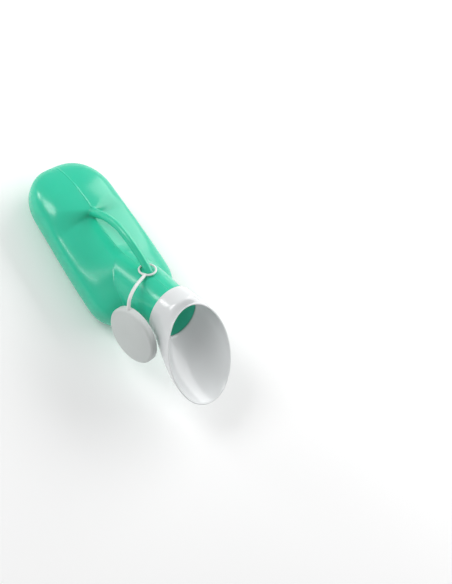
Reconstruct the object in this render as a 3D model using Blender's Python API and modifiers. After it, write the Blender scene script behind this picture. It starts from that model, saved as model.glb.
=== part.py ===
"""Urine bottle: a blow-moulded bottle lying on its flat back, with a push-on female
adapter and a press-on cap on a moulded strap.

Frame: metres, +Z up. +X runs from the base end to the mouth and Y = 0 is the mould's parting
plane. The bottle rests on Z = 0. The dimensions below count X from the base end; main()
then moves everything so that the origin is under the middle of the whole object.
"""
import math

import bmesh
import bpy
import numpy as np
from mathutils import Matrix, Vector

# --- driving dimensions of the bottle -------------------------------------------------
BODY_LENGTH = 0.198         # base end to shoulder end
BASE_HALF_WIDTH = 0.0505    # at the base part
WAIST_HALF_WIDTH = 0.0540   # at the grip part
SIDE_LEVEL = 0.031          # height of the widest line of the body
BASE_CROWN = 0.0275         # base part above the widest line
GRIP_SIDE = 0.0160          # flat top of the grip part above the widest line
GRIP_RIDGE_REAR = 0.0065    # extra height of the grip's centre ridge at the step
GRIP_RIDGE_FRONT = 0.0132   # the same in front of the neck
NECK_RISE = 0.0100          # what the ridge gains where it runs into the neck
STEP_START, STEP_END = 0.0728, 0.0768   # the step down to the grip, at the centre
STEP_SPREAD = (-0.026, 0.0090)          # what its start and end gain at the sides
WALL = 0.0018               # wall of the bottle

# --- neck, handle ---------------------------------------------------------------------
NECK_TILT = math.radians(32.5)      # neck axis above the body axis
COLLAR_SEAT = Vector((0.2165, 0.0, 0.0795))     # neck axis at the adapter's lower edge
NECK_RADIUS = 0.0275
NECK_ROOT_LENGTH = 0.084    # neck axis hidden in the body, measured back from the seat
NECK_INSERT = 0.0122        # neck inside the adapter's socket
HANDLE_RADIUS = 0.0044
HANDLE_ROOT = 1.22          # widening of the bar's rear end

# --- adapter --------------------------------------------------------------------------
COLLAR_RADIUS = 0.0300
COLLAR_TOP, COLLAR_SIDE = 0.0210, 0.0040    # length of the round collar before it flares
SOCKET_DEPTH = 0.0125
THROAT_RADIUS = 0.0245
ADAPTER_WALL = 0.0018
GAP = 0.0003
MOUTH_TOP = (0.0255, 0.0228)    # (along the neck axis, across it) at the handle side
MOUTH_LIP = (0.0755, -0.0835)   # the same at the long lip
MOUTH_HALF_WIDTH = 0.0420

# --- closure --------------------------------------------------------------------------
RING_CENTRE = Vector((0.1668, 0.0, 0.0859))
RING_RADIUS = 0.0092        # centre line
RING_WIRE = 0.0012
RING_TILT = math.radians(32)
STRAP_WIDTH = 0.0038
STRAP_POINTS = [(0.1790, -0.0295, 0.0945), (0.1866, -0.0420, 0.0950)]
STRAP_LEAVES = math.radians(150)    # where round the ring the strap is joined
CAP_RADIUS = 0.0330
CAP_DEPTH = 0.0100
CAP_WALL = 0.0016
CAP_CENTRE = Vector((0.2185, -0.0520, 0.0639))
CAP_NORMAL = Vector((0.046, -0.999, 0.025)).normalized()
CAP_STRAP_SIDE = Vector((-0.685, 0.0, 0.730))   # from the cap's centre to its strap

MIDDLE = 0.1627             # from the base end to the middle of the whole object
RING_POINTS = 56            # points round each section of the body
NECK_AXIS = Vector((math.cos(NECK_TILT), 0.0, math.sin(NECK_TILT)))
NECK_UP = Vector((-math.sin(NECK_TILT), 0.0, math.cos(NECK_TILT)))
SIDE = Vector((0.0, 1.0, 0.0))


def clear_scene():
    for obj in list(bpy.data.objects):
        bpy.data.objects.remove(obj, do_unlink=True)


def material(name, colour, roughness):
    mat = bpy.data.materials.new(name)
    mat.use_nodes = True
    shader = mat.node_tree.nodes["Principled BSDF"]
    shader.inputs["Base Color"].default_value = (*colour, 1.0)
    shader.inputs["Roughness"].default_value = roughness
    shader.inputs["Metallic"].default_value = 0.0
    return mat


def add_object(name, mesh, collection, mat=None):
    obj = bpy.data.objects.new(name, mesh)
    collection.objects.link(obj)
    if mat is not None:
        mesh.materials.append(mat)
    return obj


def loft(name, rings):
    """A closed solid through rings of equal point count, with a flat cap at each end."""
    bm = bmesh.new()
    loops = [[bm.verts.new(p) for p in ring] for ring in rings]
    count = len(loops[0])
    for lower, upper in zip(loops, loops[1:]):
        for i in range(count):
            j = (i + 1) % count
            bm.faces.new((lower[i], lower[j], upper[j], upper[i]))
    bm.faces.new(list(reversed(loops[0])))
    bm.faces.new(loops[-1])
    bmesh.ops.recalc_face_normals(bm, faces=bm.faces)
    mesh = bpy.data.meshes.new(name)
    bm.to_mesh(mesh)
    bm.free()
    return mesh


def set_origin(obj, point):
    """Move the object's origin to a point and leave its shape where it is."""
    obj.data.transform(Matrix.Translation(-point))
    obj.location = point


def boolean(obj, other, operation):
    mod = obj.modifiers.new(operation.lower(), "BOOLEAN")
    mod.object = other
    mod.operation = operation
    mod.solver = "EXACT"
    return mod


def as_cutter(obj, cutters):
    for owner in list(obj.users_collection):
        owner.objects.unlink(obj)
    cutters.objects.link(obj)
    obj.hide_render = True
    obj.display_type = "WIRE"


def blend(low, high, x):
    """Smooth change from 0 to 1 as x goes from low to high."""
    t = min(max((x - low) / (high - low), 0.0), 1.0)
    return t * t * (3 - 2 * t)


def mix(a, b, t):
    return a + (b - a) * t


def end_round(distance, radius, flat, power=0.5):
    """Section scale near an end: flat at the end face, full size after radius."""
    t = min(max(distance / radius, 0.0), 1.0)
    return flat + (1 - flat) * (1 - (1 - t) ** 2) ** power


# --- the body's sections --------------------------------------------------------------
def superellipse(angle, power):
    c, s = math.cos(angle), math.sin(angle)
    return (math.copysign(abs(c) ** (2 / power), c), math.copysign(abs(s) ** (2 / power), s))


def section_point(x, angle, inset):
    """A point of the body's section at x, moved inward by inset."""
    from_base = x - inset
    from_shoulder = BODY_LENGTH - x - inset
    half_width = mix(BASE_HALF_WIDTH, WAIST_HALF_WIDTH, blend(0.03, 0.14, x)) - inset
    plan = min(end_round(from_base, 0.048, 0.2), end_round(from_shoulder, 0.036, 0.45))
    across = abs(superellipse(angle, 2.6)[0])
    step = blend(STEP_START + STEP_SPREAD[0] * across, STEP_END + STEP_SPREAD[1] * across,
                 x + 0.6 * inset)
    ridge = mix(GRIP_RIDGE_REAR, GRIP_RIDGE_FRONT, blend(STEP_END, 0.13, x))
    ridge += NECK_RISE * blend(0.118, 0.152, x)
    if math.sin(angle) >= 0:
        base_y, base_z = superellipse(angle, 2.6)
        grip_y, grip_z = superellipse(angle, 4.8)
        y = mix(base_y, grip_y, step) * half_width * plan
        spread = abs(grip_y)
        gable = ridge * (1 - math.sqrt(spread ** 2 + 0.01)) if grip_z > 0 else 0.0
        z = mix(base_z * (BASE_CROWN - inset), grip_z * (GRIP_SIDE - inset) + gable, step)
        rise = min(end_round(from_base, 0.066, 0.12, 0.62), end_round(from_shoulder, 0.030, 0.3))
        return Vector((x, y, SIDE_LEVEL + z * rise))
    low_y, low_z = superellipse(angle, 2.4)
    y = low_y * half_width * plan
    depth = SIDE_LEVEL + 0.0012 - inset
    sink = min(end_round(from_base, 0.024, 0.35), end_round(from_shoulder, 0.022, 0.35))
    z = max(low_z * depth * sink, inset - SIDE_LEVEL)
    return Vector((x, y, SIDE_LEVEL + z))


def stations(inset):
    """X positions of the sections: close together at the ends and at the step."""
    first, last = inset + 0.0004, BODY_LENGTH - inset - 0.0004
    ends = [1 - math.cos(t * math.pi / 2 / 9) for t in range(1, 9)]
    base = [first + 0.046 * t for t in [0.0] + ends]
    step = [0.047, 0.053, 0.059, 0.064, 0.068, 0.071]
    step += [float(x) for x in np.linspace(STEP_START, STEP_END, 4)]
    step += [0.0795, 0.0825, 0.086]
    grip = [float(x) for x in np.linspace(0.090, 0.150, 5)]
    shoulder = [last - 0.034 * t for t in reversed([0.0] + ends)]
    return base + step + grip + shoulder


def body_solid(name, inset):
    angles = [2 * math.pi * i / RING_POINTS for i in range(RING_POINTS)]
    return loft(name, [[section_point(x, a, inset) for a in angles] for x in stations(inset)])


def neck_solid(name, radius, back, front):
    """The neck as a turned solid that flares a little towards its root."""
    rings = []
    for s in np.linspace(-back, front, 9):
        flare = 0.0028 * blend(-0.006, -0.045, float(s)) if s < 0 else 0.0
        centre = COLLAR_SEAT + NECK_AXIS * float(s)
        rings.append([centre + (NECK_UP * math.cos(t) + SIDE * math.sin(t)) * (radius + flare)
                      for t in np.linspace(0, 2 * math.pi, 48, endpoint=False)])
    return loft(name, rings)


def tube(name, points, radius, collection, resolution=3, root=1.0):
    """A closed mesh tube along points, from a bevelled curve; root widens its first end."""
    curve = bpy.data.curves.new(name, "CURVE")
    curve.dimensions = "3D"
    curve.bevel_depth = radius
    curve.bevel_resolution = resolution
    curve.use_fill_caps = True
    spline = curve.splines.new("POLY")
    spline.points.add(len(points) - 1)
    for i, (target, point) in enumerate(zip(spline.points, points)):
        target.co = (*point, 1.0)
        target.radius = mix(root, 1.0, blend(0.0, 0.3, i / len(points)))
    source = bpy.data.objects.new(name + "_curve", curve)
    collection.objects.link(source)
    bpy.context.view_layer.update()
    graph = bpy.context.evaluated_depsgraph_get()
    mesh = bpy.data.meshes.new_from_object(source.evaluated_get(graph))
    bpy.data.objects.remove(source, do_unlink=True)
    bm = bmesh.new()
    bm.from_mesh(mesh)
    bmesh.ops.remove_doubles(bm, verts=bm.verts, dist=0.00001)
    bmesh.ops.recalc_face_normals(bm, faces=bm.faces)
    bm.to_mesh(mesh)
    bm.free()
    return mesh


def smooth_path(points, steps):
    """Points along a Catmull-Rom curve through the given points."""
    pts = [Vector(p) for p in points]
    pts = [2 * pts[0] - pts[1]] + pts + [2 * pts[-1] - pts[-2]]
    out = []
    for a, b, c, d in zip(pts, pts[1:], pts[2:], pts[3:]):
        for i in range(steps):
            t = i / steps
            out.append(0.5 * (2 * b + (c - a) * t + (2 * a - 5 * b + 4 * c - d) * t * t
                              + (3 * b - a - 3 * c + d) * t ** 3))
    return out + [pts[-2]]


HANDLE_PATH = [(0.064, 0, 0.047), (0.076, 0, 0.0580), (0.084, 0, 0.0672), (0.093, 0, 0.0752),
               (0.103, 0, 0.0815), (0.115, 0, 0.0858), (0.128, 0, 0.0880), (0.142, 0, 0.0885),
               (0.156, 0, 0.0883), (0.167, 0, 0.0863), (0.177, 0, 0.0820), (0.186, 0, 0.0765)]


def make_bottle(parts, cutters):
    green = material("green_polyethylene", (0.06, 0.56, 0.38), 0.25)
    bottle = add_object("bottle_body", body_solid("bottle_body", 0.0), parts, green)
    neck = add_object("neck_outer", neck_solid("neck_outer", NECK_RADIUS, NECK_ROOT_LENGTH,
                                               NECK_INSERT), cutters)
    handle = add_object("handle_bar", tube("handle_bar", smooth_path(HANDLE_PATH, 4),
                                           HANDLE_RADIUS, cutters, 3, HANDLE_ROOT), cutters)
    hollow = add_object("body_hollow", body_solid("body_hollow", WALL), cutters)
    bore = add_object("neck_hollow", neck_solid("neck_hollow", NECK_RADIUS - WALL,
                                                NECK_ROOT_LENGTH - 0.004, NECK_INSERT + 0.01),
                      cutters)
    for obj in (neck, handle, hollow, bore):
        as_cutter(obj, cutters)
    boolean(bottle, neck, "UNION")
    boolean(bottle, handle, "UNION")
    boolean(bottle, hollow, "DIFFERENCE")
    boolean(bottle, bore, "DIFFERENCE")
    return bottle


# --- the adapter ----------------------------------------------------------------------
def mouth_frame():
    """Centre of the mouth, half its long axis, and its short axis."""
    top = COLLAR_SEAT + NECK_AXIS * MOUTH_TOP[0] + NECK_UP * MOUTH_TOP[1]
    lip = COLLAR_SEAT + NECK_AXIS * MOUTH_LIP[0] + NECK_UP * MOUTH_LIP[1]
    return (top + lip) / 2, (top - lip) / 2, SIDE * MOUTH_HALF_WIDTH


def collar_point(along, radius, angle):
    radial = NECK_UP * math.cos(angle) + SIDE * math.sin(angle)
    return COLLAR_SEAT + NECK_AXIS * along + radial * radius


def flare(start, end, angle, s, outward):
    """A point of the flare from start to end; it leaves the round part along the neck at
    the handle side, and straight for the rim at the sides and the lip."""
    run = (end - start).length
    straight = (end - start).normalized()
    lip = 1 - max(math.cos(angle), 0.0) ** 2
    away = (straight + (collar_point(0, 1, angle) - COLLAR_SEAT) * outward).normalized()
    pull = start + (NECK_AXIS * (1 - lip) + away * lip) * (0.36 * run)
    lead = end - (straight * (1 - 0.65 * lip) + NECK_AXIS * (0.65 * lip)) * (0.34 * run)
    return (start * (1 - s) ** 3 + pull * (3 * s * (1 - s) ** 2) + lead * (3 * s * s * (1 - s))
            + end * s ** 3)


def mouth_point(angle, inset):
    centre, long_half, short_half = mouth_frame()
    out = long_half * math.cos(angle) + short_half * math.sin(angle)
    return centre + out - out.normalized() * inset


def adapter_skins(angles):
    """Rings of the outer skin, then of the inner one, each from the collar to the rim."""
    steps = [i / 10 for i in range(1, 11)]
    outer = [[collar_point(0, COLLAR_RADIUS, a) for a in angles]]
    inner = [[collar_point(along, radius, a) for a in angles] for along, radius in (
        (0, NECK_RADIUS + GAP), (SOCKET_DEPTH, NECK_RADIUS + GAP),
        (SOCKET_DEPTH, THROAT_RADIUS), (SOCKET_DEPTH + ADAPTER_WALL, THROAT_RADIUS))]
    starts = []
    for a in angles:
        lip = 1 - max(math.cos(a), 0.0) ** 2
        starts.append(collar_point(mix(COLLAR_TOP, COLLAR_SIDE, lip), COLLAR_RADIUS, a))
    outer.append(starts)
    for s in steps:
        outer.append([flare(start, mouth_point(a, 0.0), a, s, 0.0)
                      for a, start in zip(angles, starts)])
    for s in steps:
        inner.append([flare(start, mouth_point(a, ADAPTER_WALL), a, s, 0.6)
                      for a, start in zip(angles, inner[3])])
    return outer, inner


def make_adapter(parts):
    white = material("white_plastic", (0.80, 0.81, 0.80), 0.18)
    count = 48
    bm = bmesh.new()
    skins = [[[bm.verts.new(p) for p in ring] for ring in skin]
             for skin in adapter_skins([2 * math.pi * i / count for i in range(count)])]
    strips = [pair for skin in skins for pair in zip(skin, skin[1:])]
    strips += [(skins[0][end], skins[1][end]) for end in (0, -1)]
    for low, high in strips:
        for i in range(count):
            j = (i + 1) % count
            bm.faces.new((low[i], low[j], high[j], high[i]))
    bmesh.ops.recalc_face_normals(bm, faces=bm.faces)
    mesh = bpy.data.meshes.new("female_adapter")
    bm.to_mesh(mesh)
    bm.free()
    adapter = add_object("female_adapter", mesh, parts, white)
    set_origin(adapter, COLLAR_SEAT)
    return adapter


# --- the closure ----------------------------------------------------------------------
def ring_point(angle):
    """A point of the ring's centre line; angle 0 is at +Y, 90 degrees at the front top."""
    front = Vector((math.cos(RING_TILT), 0.0, math.sin(RING_TILT)))
    return RING_CENTRE + (SIDE * math.cos(angle) + front * math.sin(angle)) * RING_RADIUS


def make_ring(parts):
    """The ring lies on the neck and lifts about its rear, so its origin is there."""
    white = material("ring_plastic", (0.82, 0.83, 0.82), 0.3)
    front = Vector((math.cos(RING_TILT), 0.0, math.sin(RING_TILT)))
    bpy.ops.mesh.primitive_torus_add(major_radius=RING_RADIUS, minor_radius=RING_WIRE,
                                     major_segments=36, minor_segments=10)
    ring = bpy.context.active_object
    ring.name = ring.data.name = "tether_ring"
    axes = Matrix((SIDE, front, SIDE.cross(front))).transposed().to_4x4()
    ring.data.transform(Matrix.Translation(front * RING_RADIUS) @ axes)
    ring.location = RING_CENTRE - front * RING_RADIUS
    ring.data.materials.append(white)
    for owner in list(ring.users_collection):
        owner.objects.unlink(ring)
    parts.objects.link(ring)
    return ring


def cap_axes():
    """The cap's frame: x towards the strap, z along its outer face's normal."""
    x_axis = (CAP_STRAP_SIDE - CAP_NORMAL * CAP_STRAP_SIDE.dot(CAP_NORMAL)).normalized()
    return Matrix((x_axis, CAP_NORMAL.cross(x_axis), CAP_NORMAL)).transposed().to_4x4()


def make_cap(parts):
    white = material("cap_plastic", (0.66, 0.68, 0.66), 0.3)
    profile = [(0.0, 0.0), (0.6 * CAP_RADIUS, -0.0006), (CAP_RADIUS - 0.003, -0.0018),
               (CAP_RADIUS - 0.0008, -0.0032), (CAP_RADIUS, -0.0052), (CAP_RADIUS, -CAP_DEPTH),
               (CAP_RADIUS - CAP_WALL, -CAP_DEPTH), (CAP_RADIUS - CAP_WALL, -0.0048),
               (CAP_RADIUS - 0.004, -0.0036), (0.0, -0.0022)]
    mesh = bpy.data.meshes.new("cap")
    bm = bmesh.new()
    verts = [bm.verts.new((r, 0.0, z)) for r, z in profile]
    for a, b in zip(verts, verts[1:]):
        bm.edges.new((a, b))
    bm.to_mesh(mesh)
    bm.free()
    cap = add_object("cap", mesh, parts, white)
    turn = cap.modifiers.new("turn", "SCREW")
    turn.steps = turn.render_steps = 48
    turn.use_merge_vertices = True
    turn.merge_threshold = 0.00001
    hinge = bpy.data.objects.new("cap_hinge", None)
    parts.objects.link(hinge)
    hinge.empty_display_size = 0.01
    hinge.location = strap_path()[-1] + CAP_NORMAL * (STRAP_WIDTH / 2)
    cap.parent = hinge
    cap.matrix_local = Matrix.Translation(CAP_CENTRE - hinge.location) @ cap_axes()
    return cap


def strap_path():
    root = ring_point(STRAP_LEAVES)
    outward = (root - RING_CENTRE).normalized()
    frame = Matrix.Translation(CAP_CENTRE) @ cap_axes()
    start = root + outward * (RING_WIRE + GAP + 0.0002)
    end = frame @ Vector((CAP_RADIUS + GAP + 0.0002, 0.0, -0.0058))
    before = frame @ Vector((CAP_RADIUS + 0.0030, 0.0, -0.0058))
    return smooth_path([start, start + outward * 0.0025, *STRAP_POINTS, before, end], 5)


def make_strap(parts):
    white = material("strap_plastic", (0.80, 0.81, 0.80), 0.3)
    mesh = tube("tether_strap", strap_path(), STRAP_WIDTH / 2, parts, 2)
    strap = add_object("tether_strap", mesh, parts, white)
    set_origin(strap, ring_point(STRAP_LEAVES))
    return strap


def main():
    clear_scene()
    parts = bpy.data.collections.new("urine_bottle")
    cutters = bpy.data.collections.new("cutters")
    for collection in (parts, cutters):
        bpy.context.scene.collection.children.link(collection)
    make_bottle(parts, cutters)
    make_adapter(parts)
    make_ring(parts)
    make_strap(parts)
    make_cap(parts)
    for obj in bpy.data.objects:
        if obj.parent is None:
            obj.location.x -= MIDDLE


main()
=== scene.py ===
"""Visual model of the urine bottle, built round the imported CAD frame.

The dimensions are those of the CAD script, in metres. X counts from the base end while a
shape is made, and ring_mesh moves every shape by -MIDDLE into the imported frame.
"""
import math

import bmesh
import bpy
import numpy as np
from mathutils import Matrix, Vector
from mathutils.bvhtree import BVHTree


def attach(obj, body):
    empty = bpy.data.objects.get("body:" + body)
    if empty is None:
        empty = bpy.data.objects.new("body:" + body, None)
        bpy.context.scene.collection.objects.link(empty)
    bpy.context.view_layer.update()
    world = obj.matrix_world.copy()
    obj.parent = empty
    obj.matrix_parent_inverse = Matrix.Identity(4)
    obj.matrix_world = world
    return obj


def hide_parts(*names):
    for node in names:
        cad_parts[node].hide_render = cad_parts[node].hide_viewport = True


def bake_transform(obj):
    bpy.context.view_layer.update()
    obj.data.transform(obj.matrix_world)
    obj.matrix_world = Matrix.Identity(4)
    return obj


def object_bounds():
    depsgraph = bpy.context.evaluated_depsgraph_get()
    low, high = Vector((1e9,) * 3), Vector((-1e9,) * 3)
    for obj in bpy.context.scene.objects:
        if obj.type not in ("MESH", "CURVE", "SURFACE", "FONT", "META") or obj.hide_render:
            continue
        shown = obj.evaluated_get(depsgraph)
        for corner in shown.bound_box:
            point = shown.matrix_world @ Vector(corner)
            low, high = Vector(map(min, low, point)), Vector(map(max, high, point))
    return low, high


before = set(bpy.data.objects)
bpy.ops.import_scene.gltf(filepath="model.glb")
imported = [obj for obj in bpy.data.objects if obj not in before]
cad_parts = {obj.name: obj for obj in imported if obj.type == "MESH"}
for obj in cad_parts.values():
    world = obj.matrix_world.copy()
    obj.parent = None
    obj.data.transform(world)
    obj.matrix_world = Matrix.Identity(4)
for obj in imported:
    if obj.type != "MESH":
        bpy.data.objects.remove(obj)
cad_low, cad_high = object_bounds()

MIDDLE = 0.1627             # from the base end to the middle of the whole object
SHIFT = Vector((-MIDDLE, 0.0, 0.0))

# --- bottle, as in the CAD ------------------------------------------------------------
BODY_LENGTH = 0.198         # base end to shoulder end
BASE_HALF_WIDTH = 0.0505    # at the base part
WAIST_HALF_WIDTH = 0.0540   # at the grip part
WIDENING = (0.03, 0.14)     # X range in which the first becomes the second
SIDE_LEVEL = 0.031          # height of the widest line of the body
BASE_CROWN = 0.0275         # base part above the widest line
GRIP_SIDE = 0.0160          # flat top of the grip part above the widest line
GRIP_RIDGE_REAR = 0.0065    # extra height of the grip's centre ridge at the step
GRIP_RIDGE_FRONT = 0.0132   # the same in front of the neck
RIDGE_FRONT_AT = 0.13
RIDGE_ROUNDING = 0.01       # how blunt the ridge's top is
NECK_RISE = 0.0100          # what the ridge gains where it runs into the neck
NECK_RISE_SPAN = (0.118, 0.152)
STEP_START, STEP_END = 0.0728, 0.0768   # the step down to the grip, at the centre
STEP_SPREAD = (-0.026, 0.0090)          # what its start and end gain at the sides
STEP_INSET = 0.6            # share of the wall by which the hollow's step comes earlier
BACK_CUT = 0.0012           # what the flat back takes off the under side
WALL = 0.0018               # wall of the bottle
BASE_POWER, GRIP_POWER, UNDER_POWER = 2.6, 4.8, 2.4     # how square the sections are

# How the base end and the shoulder end are rounded: length of the rounding, share of the
# full size left at the very end, and its fullness where it isn't a half circle's 0.5.
PLAN_ENDS = ((0.048, 0.2), (0.036, 0.45))
TOP_ENDS = ((0.066, 0.12, 0.62), (0.030, 0.3))
UNDER_ENDS = ((0.024, 0.35), (0.022, 0.35))

# --- neck, handle, parting line -------------------------------------------------------
NECK_TILT = math.radians(32.5)      # neck axis above the body axis
COLLAR_SEAT = Vector((0.2165, 0.0, 0.0795))     # neck axis at the adapter's lower edge
NECK_RADIUS = 0.0275
NECK_ROOT_LENGTH = 0.084    # neck axis hidden in the body, measured back from the seat
NECK_INSERT = 0.0122        # neck inside the adapter's socket
NECK_FLARE = 0.0028         # what the neck's radius gains at its root
NECK_FLARE_SPAN = (-0.006, -0.045)
HANDLE_RADIUS = 0.0044
HANDLE_ROOT = 1.22          # widening of the bar's rear end
HANDLE_PATH = [(0.064, 0, 0.047), (0.076, 0, 0.0580), (0.084, 0, 0.0672), (0.093, 0, 0.0752),
               (0.103, 0, 0.0815), (0.115, 0, 0.0858), (0.128, 0, 0.0880), (0.142, 0, 0.0885),
               (0.156, 0, 0.0883), (0.167, 0, 0.0863), (0.177, 0, 0.0820), (0.186, 0, 0.0765)]
BEAD_HALF_WIDTH, BEAD_HEIGHT = 0.0008, 0.00025
SKIN_VOXEL, QUICK_VOXEL = 0.0011, 0.0014    # grid of the skin; the hollow's is twice as wide
SNAP_NEAR, SNAP_FAR = 0.00035, 0.0007   # skin this close to the exact surface goes back on it

# --- adapter --------------------------------------------------------------------------
COLLAR_RADIUS = 0.0300
COLLAR_TOP, COLLAR_SIDE = 0.0210, 0.0040    # length of the round collar before it flares
COLLAR_EDGE, COLLAR_EDGE_MIDDLE = 0.0006, 0.00018   # rounding of the collar's lower edge
SOCKET_DEPTH = 0.0125
THROAT_RADIUS = 0.0245
SOFT_EDGE = 0.0004          # rounding of the throat's edges
SOCKET_EDGE = 0.0003        # rounding of the socket's edges
ADAPTER_WALL = 0.0018
GAP = 0.0003
MOUTH_TOP = (0.0255, 0.0228)    # (along the neck axis, across it) at the handle side
MOUTH_LIP = (0.0755, -0.0835)   # the same at the long lip
MOUTH_HALF_WIDTH = 0.0420
FLARE_PULL, FLARE_LEAD = 0.36, 0.34     # the flare's handles as shares of its length
FLARE_TURN = 0.65           # how far the lip's end turns towards the neck's axis
INNER_FLARE = 0.6           # how far the inside turns outward where it leaves the throat

# --- closure --------------------------------------------------------------------------
RING_CENTRE = Vector((0.1668, 0.0, 0.0859))
RING_RADIUS = 0.0092        # centre line
RING_WIRE = 0.0012
RING_TILT = math.radians(32)
RING_FRONT = Vector((math.cos(RING_TILT), 0.0, math.sin(RING_TILT)))
STRAP_WIDTH = 0.0038
STRAP_POINTS = [(0.1790, -0.0295, 0.0945), (0.1866, -0.0420, 0.0950)]
STRAP_LEAVES = math.radians(150)    # where round the ring the strap is joined
STRAP_LEVEL = -0.0058       # the strap's height on the cap's rim, from its outer face
STRAP_BEND = 14             # path steps at each end of the strap
CAP_RADIUS = 0.0330
CAP_DEPTH = 0.0100
CAP_WALL = 0.0016
CAP_ROUND = 0.0032          # rounding of the outer face's edge
CAP_SAG = 0.0018            # how much the outer face falls from its centre to that edge
CAP_LIP = 0.0008            # rounding of the open edge
CAP_CENTRE = Vector((0.2185, -0.0520, 0.0639))
CAP_NORMAL = Vector((0.046, -0.999, 0.025)).normalized()
CAP_STRAP_SIDE = Vector((-0.685, 0.0, 0.730))   # from the cap's centre to its strap

NECK_AXIS = Vector((math.cos(NECK_TILT), 0.0, math.sin(NECK_TILT)))
NECK_UP = Vector((-math.sin(NECK_TILT), 0.0, math.cos(NECK_TILT)))
SIDE = Vector((0.0, 1.0, 0.0))

# --- camera and light -----------------------------------------------------------------
CAMERA_PLACE = Vector((0.331104, -0.497829, 0.910729))
# The columns are the camera's right, up and backward directions.
CAMERA_TURN = Matrix(((0.551267, -0.828296, 0.100153), (0.717313, 0.409218, -0.563917),
                      (0.426106, 0.382710, 0.819736)))
CAMERA_LENS = 55.479        # on a sensor 36 mm wide
LIGHT_TARGET = Vector((0.0, 0.0, 0.05))


# --- helpers --------------------------------------------------------------------------
def blend(low, high, x):
    """A smooth step from 0 at low to 1 at high."""
    t = min(max((x - low) / (high - low), 0.0), 1.0)
    return t * t * (3 - 2 * t)


def mix(a, b, t):
    return a + (b - a) * t


def around(count):
    """Evenly spaced angles of a full turn."""
    return [2 * math.pi * i / count for i in range(count)]


def end_round(distance, radius, flat, power=0.5):
    """1 from radius inward, falling in a rounded way to flat at the very end."""
    t = min(max(distance / radius, 0.0), 1.0)
    return flat + (1 - flat) * (1 - (1 - t) ** 2) ** power


def both_ends(x, inset, roundings):
    """Share of the full size at x, with the base end and the shoulder end rounded."""
    return min(end_round(x - inset, *roundings[0]),
               end_round(BODY_LENGTH - x - inset, *roundings[1]))


def superellipse(angle, power):
    """A point of an outline that is round at power 2 and gets squarer above it."""
    c, s = math.cos(angle), math.sin(angle)
    return math.copysign(abs(c) ** (2 / power), c), math.copysign(abs(s) ** (2 / power), s)


def smooth_path(points, steps):
    """A smooth curve through all the points, with steps stretches between each two."""
    pts = [Vector(p) for p in points]
    pts = [2 * pts[0] - pts[1]] + pts + [2 * pts[-1] - pts[-2]]
    out = []
    for a, b, c, d in zip(pts, pts[1:], pts[2:], pts[3:]):
        for i in range(steps):
            t = i / steps
            out.append(0.5 * (2 * b + (c - a) * t + (2 * a - 5 * b + 4 * c - d) * t * t
                              + (3 * b - a - 3 * c + d) * t ** 3))
    return out + [pts[-2]]


def new_object(name, data, mat=None):
    obj = bpy.data.objects.new(name, data)
    bpy.context.scene.collection.objects.link(obj)
    if mat is not None:
        data.materials.append(mat)
    return obj


def smooth_shading(obj, degrees):
    obj.data.shade_smooth()
    obj.data.set_sharp_from_angle(angle=math.radians(degrees))


def ring_mesh(name, rings, closed_rows=False):
    """A closed mesh through rings of equal point count.

    closed_rows joins the last ring to the first; otherwise a face closes each end.
    """
    bm = bmesh.new()
    loops = [[bm.verts.new(Vector(p) + SHIFT) for p in ring] for ring in rings]
    count = len(loops[0])
    pairs = list(zip(loops, loops[1:]))
    if closed_rows:
        pairs.append((loops[-1], loops[0]))
    for low, high in pairs:
        for i in range(count):
            j = (i + 1) % count
            bm.faces.new((low[i], low[j], high[j], high[i]))
    if not closed_rows:
        bm.faces.new(list(reversed(loops[0])))
        bm.faces.new(loops[-1])
    bmesh.ops.recalc_face_normals(bm, faces=bm.faces)
    mesh = bpy.data.meshes.new(name)
    bm.to_mesh(mesh)
    bm.free()
    return mesh


def tube_rings(path, radii, sides):
    """Rings round a path, kept from twisting."""
    rings = []
    normal = Vector((0.13, 0.91, 0.39)).normalized()
    for i, (point, radius) in enumerate(zip(path, radii)):
        ahead = path[min(i + 1, len(path) - 1)] - path[max(i - 1, 0)]
        ahead.normalize()
        normal = (normal - ahead * normal.dot(ahead)).normalized()
        other = ahead.cross(normal)
        rings.append([point + (normal * math.cos(t) + other * math.sin(t)) * radius
                      for t in around(sides)])
    return rings


def applied(obj):
    """Replace the object's mesh by its evaluated one and drop the modifiers."""
    bpy.context.view_layer.update()
    graph = bpy.context.evaluated_depsgraph_get()
    mesh = bpy.data.meshes.new_from_object(obj.evaluated_get(graph))
    obj.modifiers.clear()
    obj.data = mesh
    return obj


def remove(*objs):
    for obj in objs:
        bpy.data.objects.remove(obj, do_unlink=True)


def neck_point(along, radius, angle):
    """A point by its place along the neck's axis, and round it from the handle side."""
    radial = NECK_UP * math.cos(angle) + SIDE * math.sin(angle)
    return COLLAR_SEAT + NECK_AXIS * along + radial * radius


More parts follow.
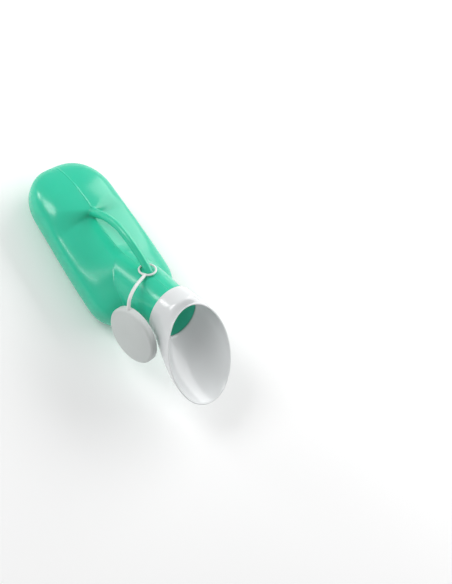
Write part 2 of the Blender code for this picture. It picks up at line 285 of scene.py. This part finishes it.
# --- bottle ---------------------------------------------------------------------------
def section_point(x, angle, inset):
    """A point of the body's section at x, moved inward by inset."""
    half_width = mix(BASE_HALF_WIDTH, WAIST_HALF_WIDTH, blend(*WIDENING, x)) - inset
    half_width *= both_ends(x, inset, PLAN_ENDS)
    if math.sin(angle) < 0:
        low_y, low_z = superellipse(angle, UNDER_POWER)
        depth = SIDE_LEVEL + BACK_CUT - inset
        z = max(low_z * depth * both_ends(x, inset, UNDER_ENDS), inset - SIDE_LEVEL)
        return Vector((x, low_y * half_width, SIDE_LEVEL + z))
    base_y, base_z = superellipse(angle, BASE_POWER)
    grip_y, grip_z = superellipse(angle, GRIP_POWER)
    across = abs(base_y)
    step = blend(STEP_START + STEP_SPREAD[0] * across, STEP_END + STEP_SPREAD[1] * across,
                 x + STEP_INSET * inset)
    ridge = mix(GRIP_RIDGE_REAR, GRIP_RIDGE_FRONT, blend(STEP_END, RIDGE_FRONT_AT, x))
    ridge += NECK_RISE * blend(*NECK_RISE_SPAN, x)
    gable = ridge * (1 - math.sqrt(grip_y ** 2 + RIDGE_ROUNDING)) if grip_z > 0 else 0.0
    z = mix(base_z * (BASE_CROWN - inset), grip_z * (GRIP_SIDE - inset) + gable, step)
    return Vector((x, mix(base_y, grip_y, step) * half_width,
                   SIDE_LEVEL + z * both_ends(x, inset, TOP_ENDS)))


def body_rings(inset, count):
    """Sections that are even along the middle and close together at both ends."""
    end_gap, base_zone, shoulder_zone = 0.0004, 0.046, 0.034
    first, last = inset + end_gap, BODY_LENGTH - inset - end_gap
    ends = [0.0] + [1 - math.cos(t * math.pi / 2 / 20) for t in range(1, 20)]
    xs = [first + base_zone * t for t in ends]
    xs += [float(x) for x in np.linspace(0.048, 0.160, 120)]
    xs += [last - shoulder_zone * t for t in ends]
    return [[section_point(x, angle, inset) for angle in around(count)] for x in sorted(xs)]


def neck_rings(radius, back, front, count):
    """A tube along the neck's axis that widens a little towards its root."""
    rings = []
    for s in np.linspace(-back, front, 40):
        wide = NECK_FLARE * blend(*NECK_FLARE_SPAN, float(s)) if s < 0 else 0.0
        rings.append([neck_point(float(s), radius + wide, t) for t in around(count)])
    return rings


def joined_solid(name, meshes, voxel, smoothing):
    """One skin round several overlapping closed meshes, with soft fillets where they meet.

    Away from the fillets the skin is put back on the exact surfaces, so that it shows no
    trace of the voxel grid.
    """
    bm = bmesh.new()
    for mesh in meshes:
        bm.from_mesh(mesh)
    exact = BVHTree.FromBMesh(bm)
    whole = bpy.data.meshes.new(name)
    bm.to_mesh(whole)
    bm.free()
    obj = new_object(name, whole)
    remesh = obj.modifiers.new("skin", "REMESH")
    remesh.mode = "VOXEL"
    remesh.voxel_size = voxel
    add_smooth(obj, smoothing)
    applied(obj)
    for vert in obj.data.vertices:
        point, _, _, distance = exact.find_nearest(vert.co)
        vert.co = vert.co.lerp(point, 1 - blend(SNAP_NEAR, SNAP_FAR, distance))
    add_smooth(obj, 3)
    return applied(obj)


def add_smooth(obj, iterations):
    smooth = obj.modifiers.new("smooth", "SMOOTH")
    smooth.factor = 0.5
    smooth.iterations = iterations


def bottle_outside(voxel):
    """Body, neck and handle bar in one skin."""
    path = smooth_path(HANDLE_PATH, 10)
    share = [i / (len(path) - 1) for i in range(len(path))]
    radii = [HANDLE_RADIUS * mix(HANDLE_ROOT, 1.0, blend(0.0, 0.3, t)) for t in share]
    past_end = 0.006
    return joined_solid("bottle", [
        ring_mesh("outer", body_rings(0.0, 160)),
        ring_mesh("neck", neck_rings(NECK_RADIUS, NECK_ROOT_LENGTH, NECK_INSERT + past_end, 128)),
        ring_mesh("handle", tube_rings(path, radii, 28)),
    ], voxel, 6)


def bottle_hollow(voxel):
    """The room inside the body and the neck, out through the neck's end."""
    short_of_root, past_end = 0.004, 0.02
    return joined_solid("hollow", [
        ring_mesh("inner", body_rings(WALL, 120)),
        ring_mesh("bore", neck_rings(NECK_RADIUS - WALL, NECK_ROOT_LENGTH - short_of_root,
                                     NECK_INSERT + past_end, 96)),
    ], voxel, 4)


def neck_end_cutter():
    """A block in front of the neck's end, which cuts it square."""
    reach, length = 0.06, 0.05
    return new_object("end_cut", ring_mesh("end_cut", [
        [neck_point(NECK_INSERT + s, reach, t) for t in around(8)] for s in (0.0, length)]))


def make_bottle(mat, painted_lit_inside_mat):
    """The green moulding: outside skin and parting line, less the hollow and the neck's end."""
    voxel = SKIN_VOXEL
    bottle = bottle_outside(voxel)
    hollow = bottle_hollow(voxel * 2)
    cutter = neck_end_cutter()
    beads = parting_beads(bottle)
    for obj in (bottle, hollow):
        obj.data.materials.append(mat)
        obj.data.materials.append(painted_lit_inside_mat)
    # Painted light: the hollow's faces take the lighter copy of the green, for light let in
    # through the wall.
    for poly in hollow.data.polygons:
        poly.material_index = 1
    for other in beads + [hollow, cutter]:
        join = bottle.modifiers.new("join", "BOOLEAN")
        join.operation = "UNION" if other in beads else "DIFFERENCE"
        join.solver = "MANIFOLD"
        join.object = other
    applied(bottle)
    remove(hollow, cutter, *beads)
    smooth_shading(bottle, 45)
    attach(bottle, "bottle")
    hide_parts("bottle_body")


def parting_beads(outer):
    """Low beads where the mould's parting plane Y = 0 cuts the outside, one for each loop."""
    bm = bmesh.new()
    bm.from_mesh(outer.data)
    geom = bm.verts[:] + bm.edges[:] + bm.faces[:]
    bmesh.ops.bisect_plane(bm, geom=geom, dist=1e-6, plane_co=(0, 0, 0), plane_no=(0, 1, 0),
                           clear_inner=True, clear_outer=True)
    beads, shortest_loop = [], 40
    left = dict.fromkeys(bm.verts)
    while left:
        loop = [left.popitem()[0]]
        ahead = loop
        while ahead:
            ahead = [e.other_vert(loop[-1]) for e in loop[-1].link_edges
                     if e.other_vert(loop[-1]) in left][:1]
            for vert in ahead:
                left.pop(vert)
            loop += ahead
        if len(loop) > shortest_loop:
            beads.append(parting_bead([v.co.copy() for v in loop[::2]]))
    bm.free()
    return beads


def parting_bead(points):
    """A closed bead round a loop, flat enough to look like a raised line."""
    count = len(points)
    points = [(points[i - 1] + 2 * p + points[(i + 1) % count]) / 4
              for i, p in enumerate(points)]
    rings = []
    for i, point in enumerate(points):
        centre = Vector((max(point.x, cad_low[0] + BEAD_HEIGHT), 0.0, max(point.z, BEAD_HEIGHT)))
        out = SIDE.cross(points[(i + 1) % count] - points[i - 1]).normalized()
        rings.append([centre - SHIFT + SIDE * (BEAD_HALF_WIDTH * math.cos(t))
                      + out * (BEAD_HEIGHT * math.sin(t)) for t in around(10)])
    return new_object("bead", ring_mesh("bead", rings, closed_rows=True))


# --- adapter --------------------------------------------------------------------------
def flare(start, end, angle, s, outward):
    """A point at share s of the curve from the collar or throat out to the rim."""
    run = (end - start).length
    straight = (end - start).normalized()
    lip = 1 - max(math.cos(angle), 0.0) ** 2
    away = (straight + (neck_point(0, 1, angle) - COLLAR_SEAT) * outward).normalized()
    pull = start + (NECK_AXIS * (1 - lip) + away * lip) * (FLARE_PULL * run)
    turn = FLARE_TURN * lip
    lead = end - (straight * (1 - turn) + NECK_AXIS * turn) * (FLARE_LEAD * run)
    return (start * (1 - s) ** 3 + pull * (3 * s * (1 - s) ** 2) + lead * (3 * s * s * (1 - s))
            + end * s ** 3)


def mouth_point(angle, inset):
    """A point of the oval rim, moved towards its centre by inset."""
    top = COLLAR_SEAT + NECK_AXIS * MOUTH_TOP[0] + NECK_UP * MOUTH_TOP[1]
    lip = COLLAR_SEAT + NECK_AXIS * MOUTH_LIP[0] + NECK_UP * MOUTH_LIP[1]
    out = (top - lip) / 2 * math.cos(angle) + SIDE * (MOUTH_HALF_WIDTH * math.sin(angle))
    return (top + lip) / 2 + out - out.normalized() * inset


def adapter_profile(angle):
    """Points from the socket's edge, along the outer skin, over the rim and back inside."""
    lip = 1 - max(math.cos(angle), 0.0) ** 2
    length = mix(COLLAR_TOP, COLLAR_SIDE, lip)
    collar = [neck_point(along, radius, angle) for along, radius in (
        (0.0, COLLAR_RADIUS - COLLAR_EDGE),
        (COLLAR_EDGE_MIDDLE, COLLAR_RADIUS - COLLAR_EDGE_MIDDLE),
        (COLLAR_EDGE, COLLAR_RADIUS))]
    collar += [neck_point(mix(COLLAR_EDGE, length, i / 6), COLLAR_RADIUS, angle)
               for i in range(1, 7)]
    rim = mouth_point(angle, 0.0)
    inside = mouth_point(angle, ADAPTER_WALL)
    steps = [i / 30 for i in range(1, 30)] + [0.985]    # short of the rim, which is rounded
    outer = [flare(collar[-1], rim, angle, s, 0.0) for s in steps]
    shelf = SOCKET_DEPTH + ADAPTER_WALL
    throat = neck_point(shelf, THROAT_RADIUS, angle)
    inner = [flare(throat, inside, angle, s, INNER_FLARE) for s in steps]
    half = (outer[-1] - inner[-1]) / 2
    middle = (outer[-1] + inner[-1]) / 2
    ahead = (rim - outer[-1] + inside - inner[-1])
    ahead = (ahead - half * ahead.dot(half) / half.length_squared).normalized() * half.length
    over = [middle + half * math.cos(t) + ahead * math.sin(t)
            for t in np.linspace(0, math.pi, 9)[1:-1]]
    socket = NECK_RADIUS + GAP
    socket_side = [neck_point(along, radius, angle) for along, radius in (
        (shelf, THROAT_RADIUS),
        (shelf - SOFT_EDGE, THROAT_RADIUS - 0.0001),
        (SOCKET_DEPTH + SOFT_EDGE, THROAT_RADIUS),
        (SOCKET_DEPTH, THROAT_RADIUS + SOFT_EDGE),
        (SOCKET_DEPTH, socket - SOCKET_EDGE),
        (SOCKET_DEPTH - SOCKET_EDGE, socket),
        (SOFT_EDGE, socket),
        (0.0, socket + SOCKET_EDGE))]
    return collar + outer + over + list(reversed(inner)) + socket_side


def make_adapter(mat):
    """One closed skin: the profiles round the neck's axis joined into rings."""
    profiles = [adapter_profile(angle) for angle in around(180)]
    rings = list(zip(*profiles))
    adapter = new_object("adapter", ring_mesh("adapter", rings, closed_rows=True), mat)
    smooth_shading(adapter, 50)
    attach(adapter, "adapter")
    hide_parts("female_adapter")


# --- closure --------------------------------------------------------------------------
def ring_outward(angle):
    return SIDE * math.cos(angle) + RING_FRONT * math.sin(angle)


def make_ring(mat):
    """The ring round the handle, with a thicker wire where the strap is joined."""
    up = SIDE.cross(RING_FRONT)
    rings = []
    thicker, reach = 0.28, 0.22
    for angle in around(112):
        wire = RING_WIRE * (1 + thicker * math.exp(-((angle - STRAP_LEAVES) / reach) ** 2))
        rings.append([RING_CENTRE + ring_outward(angle) * (RING_RADIUS + wire * math.cos(t))
                      + up * (wire * math.sin(t)) for t in around(24)])
    ring = new_object("tether_loop", ring_mesh("tether_loop", rings, closed_rows=True), mat)
    smooth_shading(ring, 60)
    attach(ring, "ring")
    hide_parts("tether_ring")


def cap_place():
    """From the cap's own frame, with X to its strap and Z out of its face."""
    x_axis = (CAP_STRAP_SIDE - CAP_NORMAL * CAP_STRAP_SIDE.dot(CAP_NORMAL)).normalized()
    turn = Matrix((x_axis, CAP_NORMAL.cross(x_axis), CAP_NORMAL)).transposed().to_4x4()
    return Matrix.Translation(CAP_CENTRE) @ turn


def arc(centre, radius, start, end, steps):
    """Profile points round a centre, from one angle in degrees to another."""
    turns = [math.radians(mix(start, end, i / steps)) for i in range(steps + 1)]
    return [(centre[0] + radius * math.cos(t), centre[1] + radius * math.sin(t)) for t in turns]


def cap_profile():
    """(radius, height) from the outer face's centre over the open edge to the inner face."""
    bore = CAP_RADIUS - CAP_WALL
    centre_hole, face, inner_face = 0.0006, 0.0286, 0.029
    profile = [(centre_hole + face * i / 14, -CAP_SAG * (i / 14) ** 2.5) for i in range(15)]
    profile += arc((CAP_RADIUS - CAP_ROUND, -0.0050), CAP_ROUND, 88, 0, 9)
    profile += [(CAP_RADIUS, -0.0062), (CAP_RADIUS - 0.00005, -0.0086)]
    profile += arc((CAP_RADIUS - CAP_LIP, -CAP_DEPTH + CAP_LIP), CAP_LIP, 0, -180, 8)
    snap_rib = 0.0005
    profile += [(bore, -0.0084), (bore - snap_rib, -0.0078), (bore - snap_rib, -0.0073),
                (bore, -0.0066)]
    profile += arc((bore - 0.0014, -0.0052), 0.0014, 0, 85, 6)
    profile += [(inner_face * (1 - i / 10) + centre_hole, -0.0036 + 0.0012 * (i / 10))
                for i in range(11)]
    return profile


def make_cap(mat):
    place = cap_place()
    rings = [[place @ Vector((r * math.cos(t), r * math.sin(t), z)) for t in around(144)]
             for r, z in cap_profile()]
    cap = new_object("bottle_cap", ring_mesh("bottle_cap", rings), mat)
    smooth_shading(cap, 50)
    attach(cap, "cap")
    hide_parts("cap")


def strap_path():
    """From the ring's centre line to the cap's rim, straight out of both at first."""
    out_of_ring, out_of_cap, into_cap = 0.0042, 0.0030, 0.0006
    root = RING_CENTRE + ring_outward(STRAP_LEAVES) * RING_RADIUS
    first = root + (root - RING_CENTRE).normalized() * out_of_ring
    place = cap_place()
    before = place @ Vector((CAP_RADIUS + out_of_cap, 0.0, STRAP_LEVEL))
    end = place @ Vector((CAP_RADIUS - into_cap, 0.0, STRAP_LEVEL))
    return smooth_path([root, first, *STRAP_POINTS, before, end], 16)


def strap_radius(from_root, from_end):
    """Wider where it meets the ring and the cap, and drawn in at its very root."""
    ends = math.exp(-(from_root / 0.0022) ** 2) + math.exp(-(from_end / 0.0025) ** 2)
    drawn_in = 1 - 0.42 * math.exp(-(from_root / 0.001) ** 2)
    return STRAP_WIDTH / 2 * (1 + 0.16 * ends) * drawn_in


def make_strap(mat):
    """The strap in two halves that meet at its middle."""
    path = strap_path()
    run = [0.0]
    for a, b in zip(path, path[1:]):
        run.append(run[-1] + (b - a).length)
    radii = [strap_radius(d, run[-1] - d) for d in run]
    half = min(range(len(run)), key=lambda i: abs(run[i] - run[-1] / 2))
    root, tip = path[:half + 1], path[half:]
    parts = (("strap_root", root, radii[:half + 1], "ring", "strap", root[:STRAP_BEND + 1]),
             ("strap_tip", tip, radii[half:], "strap", "cap", tip[-STRAP_BEND - 1:]))
    for name, points, sizes, body_a, body_b, bend in parts:
        strap = new_object(name, ring_mesh(name, tube_rings(points, sizes, 24)), mat)
        smooth_shading(strap, 60)
        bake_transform(strap)
        if name == "strap_root":
            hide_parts("tether_strap")


# --- materials ------------------------------------------------------------------------
def plastic(name, light, dark, rough, peel, wave, subsurface, tint=(1, 1, 1), coat=0.0):
    """Moulded plastic: two tones in soft clouds, uneven gloss, orange peel and slow waves."""
    mat = bpy.data.materials.new(name)
    mat.use_nodes = True
    nodes, links = mat.node_tree.nodes, mat.node_tree.links
    shader = nodes["Principled BSDF"]
    where = nodes.new("ShaderNodeTexCoord")

    def clouds(scale, detail):
        node = nodes.new("ShaderNodeTexNoise")
        node.inputs["Scale"].default_value = scale
        node.inputs["Detail"].default_value = detail
        links.new(where.outputs["Object"], node.inputs["Vector"])
        return node.outputs["Fac"]

    def between(value, low, high):
        node = nodes.new("ShaderNodeMapRange")
        node.inputs["From Min"].default_value = 0.3
        node.inputs["From Max"].default_value = 0.7
        node.inputs["To Min"].default_value = low
        node.inputs["To Max"].default_value = high
        links.new(value, node.inputs["Value"])
        return node.outputs["Result"]

    def bump(height, distance):
        node = nodes.new("ShaderNodeBump")
        node.inputs["Strength"].default_value = 1.0
        node.inputs["Distance"].default_value = distance
        links.new(height, node.inputs["Height"])
        return node

    tone = nodes.new("ShaderNodeMix")
    tone.data_type = "RGBA"
    tone.inputs["A"].default_value = (*dark, 1)
    tone.inputs["B"].default_value = (*light, 1)
    links.new(between(clouds(14, 3), 0.0, 1.0), tone.inputs["Factor"])
    links.new(tone.outputs["Result"], shader.inputs["Base Color"])
    links.new(between(clouds(60, 4), *rough), shader.inputs["Roughness"])
    waves = bump(clouds(22, 1.5), wave)
    orange_peel = bump(clouds(420, 2), peel)
    links.new(waves.outputs["Normal"], orange_peel.inputs["Normal"])
    links.new(orange_peel.outputs["Normal"], shader.inputs["Normal"])
    shader.inputs["IOR"].default_value = 1.5
    shader.inputs["Subsurface Weight"].default_value = subsurface
    shader.inputs["Subsurface Radius"].default_value = tint
    shader.inputs["Subsurface Scale"].default_value = 0.008
    shader.inputs["Coat Weight"].default_value = coat
    shader.inputs["Coat Roughness"].default_value = 0.12
    return mat


def green():
    return plastic("green_polyethylene", light=(0.032, 0.565, 0.358), dark=(0.027, 0.535, 0.333),
                   rough=(0.19, 0.26), peel=0.00002, wave=0.0003, subsurface=0.35,
                   tint=(0.25, 1.0, 0.7))


def painted_lit_inside_green():
    """Lighter copy of the green for the hollow's faces: painted light, standing in for the light
    that the thin wall lets into the hollow.
    """
    return plastic("green_polyethylene_painted_lit_inside", light=(0.14, 0.86, 0.64),
                   dark=(0.12, 0.82, 0.60), rough=(0.30, 0.40), peel=0.00002, wave=0.0003,
                   subsurface=0.1, tint=(0.25, 1.0, 0.7))


def adapter_white():
    return plastic("white_adapter_plastic", light=(0.74, 0.76, 0.765), dark=(0.69, 0.71, 0.715),
                   rough=(0.14, 0.24), peel=0.000012, wave=0.00015, subsurface=0.1, coat=0.1)


def strap_white():
    return plastic("white_closure_plastic", light=(0.72, 0.73, 0.72), dark=(0.67, 0.68, 0.67),
                   rough=(0.30, 0.40), peel=0.00002, wave=0.0001, subsurface=0.1)


def cap_white():
    return plastic("grey_white_cap_plastic", light=(0.58, 0.61, 0.60), dark=(0.53, 0.56, 0.55),
                   rough=(0.29, 0.39), peel=0.00002, wave=0.0002, subsurface=0.1)


# --- camera, light, floor -------------------------------------------------------------
def make_camera():
    data = bpy.data.cameras.new("camera")
    data.sensor_width = 36.0
    data.lens = CAMERA_LENS
    data.clip_start = 0.05
    camera = new_object("camera", data)
    camera.matrix_world = Matrix.Translation(CAMERA_PLACE + SHIFT) @ CAMERA_TURN.to_4x4()
    bpy.context.scene.camera = camera


def area_light(name, direction, distance, size, power):
    """A rectangular lamp at a distance from the bottle's middle, turned towards it."""
    data = bpy.data.lights.new(name, "AREA")
    data.shape = "RECTANGLE"
    data.size, data.size_y = size
    data.energy = power
    light = new_object(name, data)
    light.location = LIGHT_TARGET + Vector(direction).normalized() * distance
    light.rotation_euler = (LIGHT_TARGET - light.location).to_track_quat("-Z", "Y").to_euler()


def make_floor():
    """Pale paper, just below the bottle's back."""
    mesh = bpy.data.meshes.new("floor")
    bm = bmesh.new()
    bmesh.ops.create_grid(bm, x_segments=1, y_segments=1, size=4.0)
    bm.to_mesh(mesh)
    bm.free()
    mat = bpy.data.materials.new("floor_paper")
    mat.use_nodes = True
    shader = mat.node_tree.nodes["Principled BSDF"]
    shader.inputs["Base Color"].default_value = (0.95, 0.95, 0.95, 1)
    shader.inputs["Roughness"].default_value = 0.9
    floor = new_object("floor", mesh, mat)
    floor.location.z = -0.0003


def make_light():
    """A white room, a soft key with a small low one from the base's side, a wide side light."""
    world = bpy.data.worlds.new("studio")
    world.use_nodes = True
    background = world.node_tree.nodes["Background"]
    background.inputs["Color"].default_value = (1, 1, 1, 1)
    background.inputs["Strength"].default_value = 0.45
    bpy.context.scene.world = world
    area_light("key", (-0.55, -0.50, 0.70), 1.2, (0.50, 0.50), 5.5)
    area_light("low_key", (-0.84, -0.43, 0.32), 1.2, (0.26, 0.26), 1.8)
    area_light("side", (0.0, 0.90, 0.50), 1.3, (1.8, 1.0), 18.0)
    bpy.context.scene.view_settings.view_transform = "Standard"


make_camera()
make_floor()
make_light()
make_bottle(green(), painted_lit_inside_green())
make_adapter(adapter_white())
closure_white = strap_white()
make_ring(closure_white)
make_cap(cap_white())
make_strap(closure_white)
